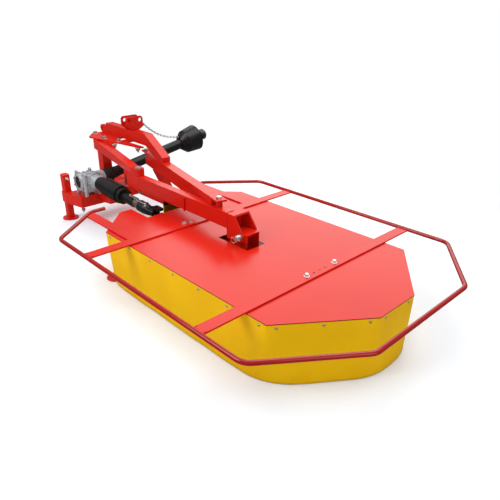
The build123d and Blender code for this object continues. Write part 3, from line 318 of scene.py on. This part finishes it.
# Tarpaulin: yellow coated cloth, its weave just showing through the coating.
canvas = Finish("yellow_tarpaulin", Roughness=0.5, Specular_IOR_Level=0.06)
warp = canvas.make(
    "ShaderNodeTexWave",
    {"Vector": canvas, "Scale": 190.0, "Distortion": 0.4},
    out=1,
    wave_type="BANDS",
    bands_direction="Z",
)
weft = canvas.make(
    "ShaderNodeTexWave",
    {"Vector": canvas, "Scale": 190.0, "Distortion": 0.4},
    out=1,
    wave_type="BANDS",
    bands_direction="DIAGONAL",
)
cloud = canvas.noise(4.5, 4, 0.55)
canvas.feed(
    Base_Color=cloud.between(0.3, 0.7).mix((0.91, 0.50, 0.001), (0.97, 0.56, 0.002)),
    Roughness=canvas.noise(22, 4).between(0.3, 0.7, 0.36, 0.52),
)
canvas.relief(warp * 0.4 + weft * 0.4 + canvas.noise(7, 3) * 6.0, 0.0006, 0.35)

finishes = {
    "red_paint": red,
    "skirt_yellow": canvas,
    "cast_metal": alloy,
    "black_plastic": plastic,
    "rubber_pad": rubber,
    "bright_steel": zinc,
    "dark_steel": forged,
    "knife_steel": blade,
}
special = {"inner_tube": worn, "guard_pipe": pipe_red_painted_shade, "cover": cover_red_edge_shaded}
slot_of = {part["node"]: part["material_slot"] for part in frame["record"]["subparts"]}
for name, node in frame["nodes"].items():
    node.data.materials.clear()
    node.data.materials.append(special.get(name, finishes[slot_of[name]]).material)


# Skirt: tarpaulin hung from the cover's rim, cut with a notch for the drive shaft. Its corners are
# tight under the rim and round out towards a welded hem, which bows out a little on each side.
def lay(name, mesh, body, slot):
    """A finished mesh as an object that rides a body, faces outwards and is smooth up to 35 degrees."""
    piece = bpy.data.objects.new(name, mesh)
    bpy.context.collection.objects.link(piece)
    bpy.ops.object.select_all(action="DESELECT")
    piece.select_set(True)
    bpy.context.view_layer.objects.active = piece
    bpy.ops.object.mode_set(mode="EDIT")
    bpy.ops.mesh.select_all(action="SELECT")
    bpy.ops.mesh.normals_make_consistent(inside=False)
    bpy.ops.object.mode_set(mode="OBJECT")
    bpy.ops.object.shade_smooth_by_angle(angle=math.radians(35))
    piece.data.materials.append(finishes[slot].material)
    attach(piece, body)
    return piece


low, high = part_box("skirt")
middle_y = (low.y + high.y) / 2
notch_rear, notch_front, notch_sill = middle_y - 0.215, middle_y + 0.015, low.z + 0.171
cloth_thickness, hem_drop, hem_bow = 0.0022, 0.011, 0.010
rim_radius, hem_radius = 0.012, 0.27
hem = low.z - hem_drop
outline = [
    Vector((low.x + 0.208, low.y)),
    Vector((high.x - 0.271, low.y)),
    Vector((high.x, low.y + 0.371)),
    Vector((high.x, high.y - 0.371)),
    Vector((high.x - 0.271, high.y)),
    Vector((low.x + 0.208, high.y)),
    Vector((low.x, high.y - 0.210)),
    Vector((low.x, low.y + 0.210)),
]
sides = [outline[(i + 1) % 8] - corner for i, corner in enumerate(outline)]
half_turns = [sides[i - 1].angle(side) / 2 for i, side in enumerate(sides)]
clear = [0.004 + hem_radius * math.tan(half_turn) for half_turn in half_turns]
levels = [high.z - t * (high.z - notch_sill) for t in (0, 0.06, 0.13, 0.25, 0.4, 0.6, 0.8, 1)]
levels += [notch_sill - t * (notch_sill - hem) for t in (0.2, 0.4, 0.6, 0.75, 0.85, 0.852, 0.93, 1)]
rows = []
notch_span = []
for z in levels:
    fall = (high.z - z) / (high.z - hem)
    radius = rim_radius + (hem_radius - rim_radius) * fall**1.3
    points = []
    for i, corner in enumerate(outline):
        along, before = sides[i].normalized(), sides[i - 1].normalized()
        half_turn = half_turns[i]
        middle = corner + (along - before).normalized() * (radius / math.cos(half_turn))
        for step in range(9):
            turn = half_turn * (step / 4 - 1)
            outwards = (before - along).normalized()
            outwards = Vector(
                (
                    outwards.x * math.cos(turn) - outwards.y * math.sin(turn),
                    outwards.x * math.sin(turn) + outwards.y * math.cos(turn),
                )
            )
            points.append((middle + outwards * radius, outwards))
        length = sides[i].length
        first, last = clear[i], length - clear[(i + 1) % 8]
        number = round(length / 0.03)
        stops = [first + (last - first) * k / number for k in range(number + 1)]
        if i == 6:
            cuts = [corner.y - notch_front, corner.y - notch_rear]
            stops = sorted([s for s in stops if min(abs(s - c) for c in cuts) > 0.010] + cuts)
            notch_span = [len(points) + stops.index(c) for c in cuts]
        facing = Vector((along.y, -along.x))
        bow = hem_bow * fall**2 / (length / 2) ** 2
        points += [(corner + along * s + facing * bow * (s - first) * (last - s), facing) for s in stops]
    run = 0.0
    row = []
    for k, (spot, facing) in enumerate(points):
        run += (spot - points[k - 1][0]).length
        wave = math.sin(run * 7.3) + 0.6 * math.sin(run * 17.1 + 1.3) + 0.35 * math.sin(run * 31.0 + 0.4)
        proud = 0.0016 * wave * fall**1.5 + (0.0009 if fall > 0.94 else 0.0)
        place = spot + facing * proud
        row.append(Vector((place.x, place.y, z - 0.0002)))
    rows.append(row)
mesh = bpy.data.meshes.new("skirt_sheet")
cloth = bmesh.new()
grid = [[cloth.verts.new(p) for p in row] for row in rows]
sill = min(range(len(levels)), key=lambda k: abs(levels[k] - notch_sill))
for k in range(len(levels) - 1):
    for i in range(len(grid[0])):
        if k < sill and notch_span[0] <= i < notch_span[1]:
            continue
        j = (i + 1) % len(grid[0])
        cloth.faces.new((grid[k][i], grid[k][j], grid[k + 1][j], grid[k + 1][i]))
bmesh.ops.delete(cloth, geom=[v for v in cloth.verts if not v.link_faces], context="VERTS")
cloth_area = sum(face.calc_area() for face in cloth.faces)
cloth.to_mesh(mesh)
cloth.free()
skirt_sheet = lay("skirt_sheet", mesh, "cutting_unit", "skirt_yellow")
wall = skirt_sheet.modifiers.new("wall", "SOLIDIFY")
wall.thickness = cloth_thickness
wall.offset = -1
bpy.ops.object.modifier_apply(modifier=wall.name)
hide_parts("skirt")


# Rivets: domed heads with a washer, along the skirt under the cover's edge.
# Each is turned once as a profile and set square to the cloth.
def lathe(profile, steps, spot=(0, 0, 0), axis=(0, 0, 1)):
    """A closed mesh turned from a profile of radius and height about an axis through the spot."""
    turned = bmesh.new()
    rings = []
    for radius, height in profile:
        angles = [0.0] if radius < 1e-6 else [2 * math.pi * k / steps for k in range(steps)]
        rings.append([turned.verts.new((radius * math.cos(a), radius * math.sin(a), height)) for a in angles])
    for first, second in zip(rings, rings[1:]):
        for k in range(steps):
            corners = [first[k % len(first)], first[(k + 1) % len(first)]]
            corners += [second[(k + 1) % len(second)], second[k % len(second)]]
            turned.faces.new(list(dict.fromkeys(corners)))
    bmesh.ops.remove_doubles(turned, verts=turned.verts[:], dist=0.000001)
    facing = Vector(axis).normalized().to_track_quat("Z", "Y").to_matrix().to_4x4()
    turned.transform(Matrix.Translation(Vector(spot)) @ facing)
    result = bpy.data.meshes.new("turned")
    turned.to_mesh(result)
    turned.free()
    return result


rivet_pitch, rivet_inset, rivet_drop = 0.19, 0.04, 0.014
flange = [(0, -0.002), (0.0066, -0.002), (0.0066, 0.0006)]
dome = flange + [(0.0048, 0.0009), (0.0043, 0.0020), (0.0028, 0.0031), (0, 0.0035)]
count = 0
for i, corner in enumerate(outline):
    side = sides[i]
    facing = Vector((side.y, -side.x, 0)).normalized()
    run = side.length - 2 * rivet_inset
    number = max(1, round(run / rivet_pitch))
    for k in range(number + 1):
        spot = corner + side.normalized() * (rivet_inset + run * k / number)
        if i == 6 and notch_rear - 0.02 < spot.y < notch_front + 0.02:
            continue
        count += 1
        place = (spot.x, spot.y, high.z - rivet_drop)
        lay(f"skirt_rivet_{count}", lathe(dome, 16, place, facing), "cutting_unit", "bright_steel")


# Hex bolts and nuts: chamfered six-sided heads on a round washer, some with a thread standing out.
# They hold the hitch plate, the cross flats, the base box and the leg. Thin black discs between the
# outer flat's bolts are painted shade, standing for the dark of the holes there.
def hex_bolt(name, spot, axis, across, body, thread=0.0):
    """Washer and head of that width across flats, with a thread of that length standing out of it."""
    r, t = across / math.sqrt(3), across * 0.12
    side_top, top = t + across * 0.52, t + across * 0.62
    rim, wide = r * 1.3, r * 1.36
    washer = [(0, -0.0004), (rim, -0.0004), (wide, t * 0.3), (wide, t * 0.8), (rim, t), (0, t)]
    head = [(0, t * 0.9), (r * 0.97, t * 0.9), (r, t + 0.0006), (r, side_top), (r * 0.86, top), (0, top)]
    lay(name + "_washer", lathe(washer, 24, spot, axis), body, "bright_steel")
    lay(name + "_head", lathe(head, 6, spot, axis), body, "bright_steel")
    if thread:
        radius = across * 0.31
        profile = [(0, top - 0.001)]
        turns = max(2, int(thread / 0.0018))
        for k in range(turns):
            profile += [(radius * 0.86, top + thread * k / turns), (radius, top + thread * (k + 0.5) / turns)]
        profile += [(radius * 0.8, top + thread), (0, top + thread)]
        lay(name + "_thread", lathe(profile, 16, spot, axis), body, "bright_steel")


low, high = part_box("hitch_plate")
for k, (x, y) in enumerate(((0.034, -0.059), (0.217, -0.085), (0.349, -0.049))):
    hex_bolt(f"plate_bolt_{k + 1}", (low.x + x, high.y - 0.076 + y, high.z), (0, 0, 1), 0.024, "headstock")
low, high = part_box("cross_flats")
flat_y = (low.y + high.y) / 2
outer_line = high.x - 0.030
for k, y in enumerate((-0.095, 0.107)):
    hex_bolt(f"outer_flat_bolt_{k + 1}", (outer_line, flat_y + y, high.z), (0, 0, 1), 0.019, "cutting_unit")
hex_bolt("inner_flat_bolt_1", (low.x + 0.018, flat_y - 0.126, high.z), (0, 0, 1), 0.019, "cutting_unit")
hex_bolt("inner_flat_bolt_2", (low.x + 0.031, flat_y - 0.090, high.z), (0, 0, 1), 0.013, "cutting_unit")
# Painted shade: thin black discs for the dark of the holes between the outer flat's bolts.
hole_shade_disc = [(0, 0), (0.0045, 0), (0.0045, 0.0003), (0, 0.0003)]
for k, y in enumerate((-0.044, -0.003, 0.036)):
    lay(f"flat_hole_shade_{k + 1}", lathe(hole_shade_disc, 20, (outer_line, flat_y + y, high.z)), "cutting_unit", "rubber_pad")
low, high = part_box("hitch_plate")
for k, (x, y) in enumerate(((0.372, 0.041), (0.570, 0.103))):
    spot = (low.x + x, low.y + y, high.z - 0.010)
    hex_bolt(f"plate_nut_{k + 1}", spot, (0, 0, -1), 0.024, "headstock", thread=0.012)
low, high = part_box("base_box")
hex_bolt("base_nut", (low.x + 0.245, low.y + 0.034, low.z), (0, 0, -1), 0.019, "headstock", thread=0.010)
low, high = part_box("parking_leg")
spot = ((low.x + high.x) / 2 + 0.025, (low.y + high.y) / 2, high.z - 0.033)
hex_bolt("leg_bolt", spot, (1, 0, 0), 0.017, "leg", thread=0.016)

# Gearbox: six small bolts round its rear cap, and a nut with its stud on each of its four corner posts.
low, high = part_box("gearbox")
cap_low, cap_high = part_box("gearbox_cap")
middle = (cap_low + cap_high) / 2
for k in range(6):
    turn = math.radians(60 * k + 30)
    spot = (middle.x + 0.050 * math.cos(turn), low.y, middle.z + 0.050 * math.sin(turn))
    hex_bolt(f"cap_bolt_{k + 1}", spot, (0, -1, 0), 0.010, "headstock")
post_y, post_top = low.y + 0.0775, low.z + 0.145
for k, (x, y) in enumerate(((-0.060, 0.0475), (0.060, 0.0475), (-0.060, -0.0475), (0.060, -0.0475))):
    spot = (middle.x + x, post_y + y, post_top)
    hex_bolt(f"post_bolt_{k + 1}", spot, (0, 0, 1), 0.013, "headstock", thread=0.006)

# Weld beads: rippled fillets laid along the seams between tubes and plates.
# Each is a half-sunk bead swept along its seam, its radius rising and falling every 4 mm.
def tube(points, radius, steps=8, closed=False, ripple=0.0):
    """A mesh swept round the points, with its radius rippled by that share every 4 mm."""
    points = [Vector(p) for p in points]
    swept = bmesh.new()
    number = len(points)
    side = None
    travelled = 0.0
    rings = []
    for k, point in enumerate(points):
        ahead = points[(k + 1) % number] if closed or k < number - 1 else point
        behind = points[k - 1] if closed or k else point
        heading = (ahead - behind).normalized()
        if side is None:
            side = heading.orthogonal().normalized()
        side = (side - heading * side.dot(heading)).normalized()
        travelled += (point - points[k - 1]).length if k else 0.0
        wide = radius * (1 + ripple * math.sin(travelled / 0.004 * 2 * math.pi))
        ring = []
        for step in range(steps):
            turn = 2 * math.pi * step / steps
            outwards = side * math.cos(turn) + heading.cross(side) * math.sin(turn)
            ring.append(swept.verts.new(point + outwards * wide))
        rings.append(ring)
    for k in range(number if closed else number - 1):
        first, second = rings[k], rings[(k + 1) % number]
        for step in range(steps):
            after = (step + 1) % steps
            swept.faces.new((first[step], first[after], second[after], second[step]))
    if not closed:
        swept.faces.new(rings[0])
        swept.faces.new(rings[-1])
    result = bpy.data.meshes.new("swept")
    swept.to_mesh(result)
    swept.free()
    return result


def weld(name, corners, body, radius=0.0032):
    """A rippled bead through the corners."""
    points = []
    for start, end in zip(corners, corners[1:]):
        start, end = Vector(start), Vector(end)
        number = max(3, int((end - start).length / 0.001))
        points += [start.lerp(end, k / number) for k in range(number)]
    points.append(Vector(corners[-1]))
    lay(name, tube(points, radius, 8, ripple=0.16), body, "red_paint")


low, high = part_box("arm_beam")
weld("weld_arm_head", ((high.x, high.y, high.z), (high.x, low.y, high.z), (high.x, low.y, low.z)), "arm")
low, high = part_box("post")
base_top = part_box("base_box")[1].z
post_foot = ((low.x, low.y, base_top), (high.x, low.y, base_top), (high.x, high.y, base_top))
weld("weld_post", post_foot, "headstock")
low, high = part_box("upright")
beam_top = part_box("hitch_beam")[1].z
weld("weld_upright", ((high.x, high.y - 0.02, beam_top), (high.x, low.y + 0.085, beam_top)), "headstock")
low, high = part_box("top_link_bracket")
for k, x in enumerate((low.x + 0.010, high.x - 0.010)):
    weld(f"weld_ear_{k + 1}", ((x, low.y + 0.042, low.z), (x, high.y - 0.052, low.z)), "headstock", 0.0028)
flat_low, flat_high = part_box("cross_flats")
for k, x in enumerate((flat_low.x + 0.003, flat_low.x + 0.057, flat_high.x - 0.057, flat_high.x - 0.003)):
    y = flat_low.y + 0.0005
    weld(f"weld_flat_{k + 1}", ((x, y, flat_high.z), (x, y + 0.018, flat_high.z)), "cutting_unit", 0.0024)

# Strap: short flat bar welded upright across the arm's rear face, standing a little below it.
low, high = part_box("arm_beam")
strap_middle = Vector((low.x + 0.608, low.y - 0.0035, (low.z + high.z) / 2 - 0.010))
strap = bmesh.new()
bmesh.ops.create_cube(strap, size=1.0)
strap.transform(Matrix.Translation(strap_middle) @ Matrix.Diagonal((0.010, 0.008, 0.078, 1)))
bmesh.ops.bevel(strap, geom=strap.edges[:], offset=0.0012, segments=2, affect="EDGES")
mesh = bpy.data.meshes.new("arm_strap")
strap.to_mesh(mesh)
strap.free()
lay("arm_strap", mesh, "arm", "red_paint")

# Boot: ribbed rubber sleeve where the power shaft's guard meets the gearbox, turned about the shaft's axis.
shaft_rise = math.radians(10.7)
boot_axis = Vector((0, math.cos(shaft_rise), math.sin(shaft_rise)))
boot_start = Vector((middle.x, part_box("gearbox")[1].y, middle.z))
ribs = [(0.0495, 0.004)]
for k in range(5):
    at = 0.008 + 0.012 * k
    narrow = 0.0503 - 0.095 * at
    ribs += [(narrow, at), (narrow + 0.0045, at + 0.003), (narrow + 0.0045, at + 0.007), (narrow, at + 0.010)]
ribs = [(0.030, 0.004)] + ribs + [(0.030, 0.068)]
ribs.append(ribs[0])
lay("shaft_boot", lathe(ribs, 40, boot_start, boot_axis), "headstock", "rubber_pad")

# Head web: plate between the cheeks of the arm's head, closing it under the arm's end.
# Its edges are broken by a small bevel and it is welded to both cheeks.
head_low, head_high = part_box("arm_head")
cheek_inside = 0.0078
web_low = Vector((head_low.x + 0.001, head_low.y + cheek_inside, head_high.z - 0.128))
web_high = Vector((head_low.x + 0.0065, head_high.y - cheek_inside, head_high.z - 0.0665))
mesh = bpy.data.meshes.new("head_web")
slab = bmesh.new()
bmesh.ops.create_cube(slab, size=1.0)
bmesh.ops.scale(slab, vec=web_high - web_low, verts=slab.verts[:])
bmesh.ops.translate(slab, vec=(web_high + web_low) / 2, verts=slab.verts[:])
bmesh.ops.bevel(slab, geom=slab.edges[:], offset=0.0008, segments=2, affect="EDGES")
slab.to_mesh(mesh)
slab.free()
lay("head_web", mesh, "arm", "red_paint")
for k, y in enumerate((web_low.y + 0.0008, web_high.y - 0.0008)):
    seam = [(web_high.x, y, web_low.z + 0.004), (web_high.x, y, web_high.z - 0.004)]
    weld(f"weld_head_web_{k + 1}", seam, "arm", 0.0024)

# Prop foot: round plate on a post under the cover's inner corner, its rim showing below the hem.
cover_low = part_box("cover")[0]
foot = [(0, 0.0005), (0.054, 0.0005), (0.056, 0.0025), (0.056, 0.006), (0.054, 0.008)]
foot += [(0.013, 0.008), (0.011, 0.011), (0.011, 0.270), (0, 0.270)]
lay("prop_foot", lathe(foot, 40, (cover_low.x + 0.185, cover_low.y + 0.046, 0)), "cutting_unit", "red_paint")

# Linch pin and spring: what keeps the pendulum pin in. A coil of round wire round the pin's end, a short
# pin across it and a wire ring on that.
pin_low, pin_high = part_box("pendulum_pin")
centre = (pin_low + pin_high) / 2
spring_radius = 0.0155
coil = []
for k in range(121):
    turn = 2 * math.pi * k / 24
    x, z = spring_radius * math.cos(turn), spring_radius * math.sin(turn)
    coil.append((centre.x + x, pin_low.y + 0.002 + 0.023 * k / 120, centre.z + z))
lay("pin_spring", tube(coil, 0.0017, 8), "arm", "bright_steel")
ring = []
for k in range(32):
    turn = 2 * math.pi * k / 32
    wide, deep = 0.014 * math.cos(turn), 0.014 * math.sin(turn)
    ring.append((centre.x - 0.018 + wide, pin_low.y + 0.006 + 0.3 * wide, centre.z - 0.014 + deep))
lay("linch_ring", tube(ring, 0.0018, 8, closed=True), "arm", "bright_steel")
pin_line = [(centre.x - 0.034 + 0.004 * k, pin_low.y + 0.0065, centre.z - 0.002) for k in range(16)]
lay("linch_pin", tube(pin_line, 0.0028, 10), "arm", "bright_steel")

# Guard tether: a brass coil over the outer tube's end and a light chain of oval links from it to the
# black end of the shaft. Coil and links ride the inner part of the drive, so the chain keeps its length.
tube_low, tube_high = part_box("outer_tube")
sleeve_low, sleeve_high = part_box("inner_tube")
start = Vector((tube_high.x - 0.030, (tube_low.y + tube_high.y) / 2 - 0.012, tube_high.z + 0.002))
coil = []
for k in range(145):
    turn = 2 * math.pi * k / 16
    coil.append(start + Vector((0.030 * k / 144 - 0.010, 0.0065 * math.cos(turn), 0.0065 * math.sin(turn))))
coil_piece = lay("tether_coil", tube(coil, 0.0014, 8), "drive_inner", "bright_steel")
coil_piece.data.materials[0] = brass.material
chain_end = Vector((sleeve_low.x + 0.265, start.y - 0.004, sleeve_high.z - 0.003727))
chain_start = start + Vector((0.022, 0, 0))
along = (chain_end - chain_start).normalized()
number, sag = 13, 0.010
for k in range(number):
    at = (k + 0.5) / number
    spot = chain_start.lerp(chain_end, at) - Vector((0, 0, sag * math.sin(math.pi * at)))
    across = Vector((0, 1, 0)) if k % 2 else along.cross(Vector((0, 1, 0)))
    oval = []
    for step in range(20):
        turn = 2 * math.pi * step / 20
        oval.append(spot + along * 0.0086 * math.cos(turn) + across * 0.0042 * math.sin(turn))
    lay(f"tether_link_{k + 1}", tube(oval, 0.0011, 6, closed=True), "drive_inner", "bright_steel")

# Catch: black lever over the shaft's black end, with a zinc wire clip beside its pivot bolt.
# The lever is a round bar swept along a line that rises towards its tip.
pivot = Vector((sleeve_high.x - 0.112, start.y - 0.018, sleeve_high.z - 0.007227))
lever = [pivot + Vector((0.012 * k, 0.0004 * k, 0.0012 * k + 0.00012 * k * k)) for k in range(-2, 10)]
lay("catch_lever", tube(lever, 0.0068, 10), "drive_inner", "black_plastic")
hex_bolt("catch_bolt", pivot - Vector((0, 0.0065, 0)), (0, -1, 0), 0.013, "drive_inner")
clip = []
for k in range(25):
    turn = math.pi * (0.1 + 1.5 * k / 24)
    clip.append(pivot + Vector((0.030 + 0.016 * math.cos(turn), -0.004, 0.014 + 0.016 * math.sin(turn))))
lay("catch_clip", tube(clip, 0.0022, 8), "drive_inner", "bright_steel")

low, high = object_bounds()
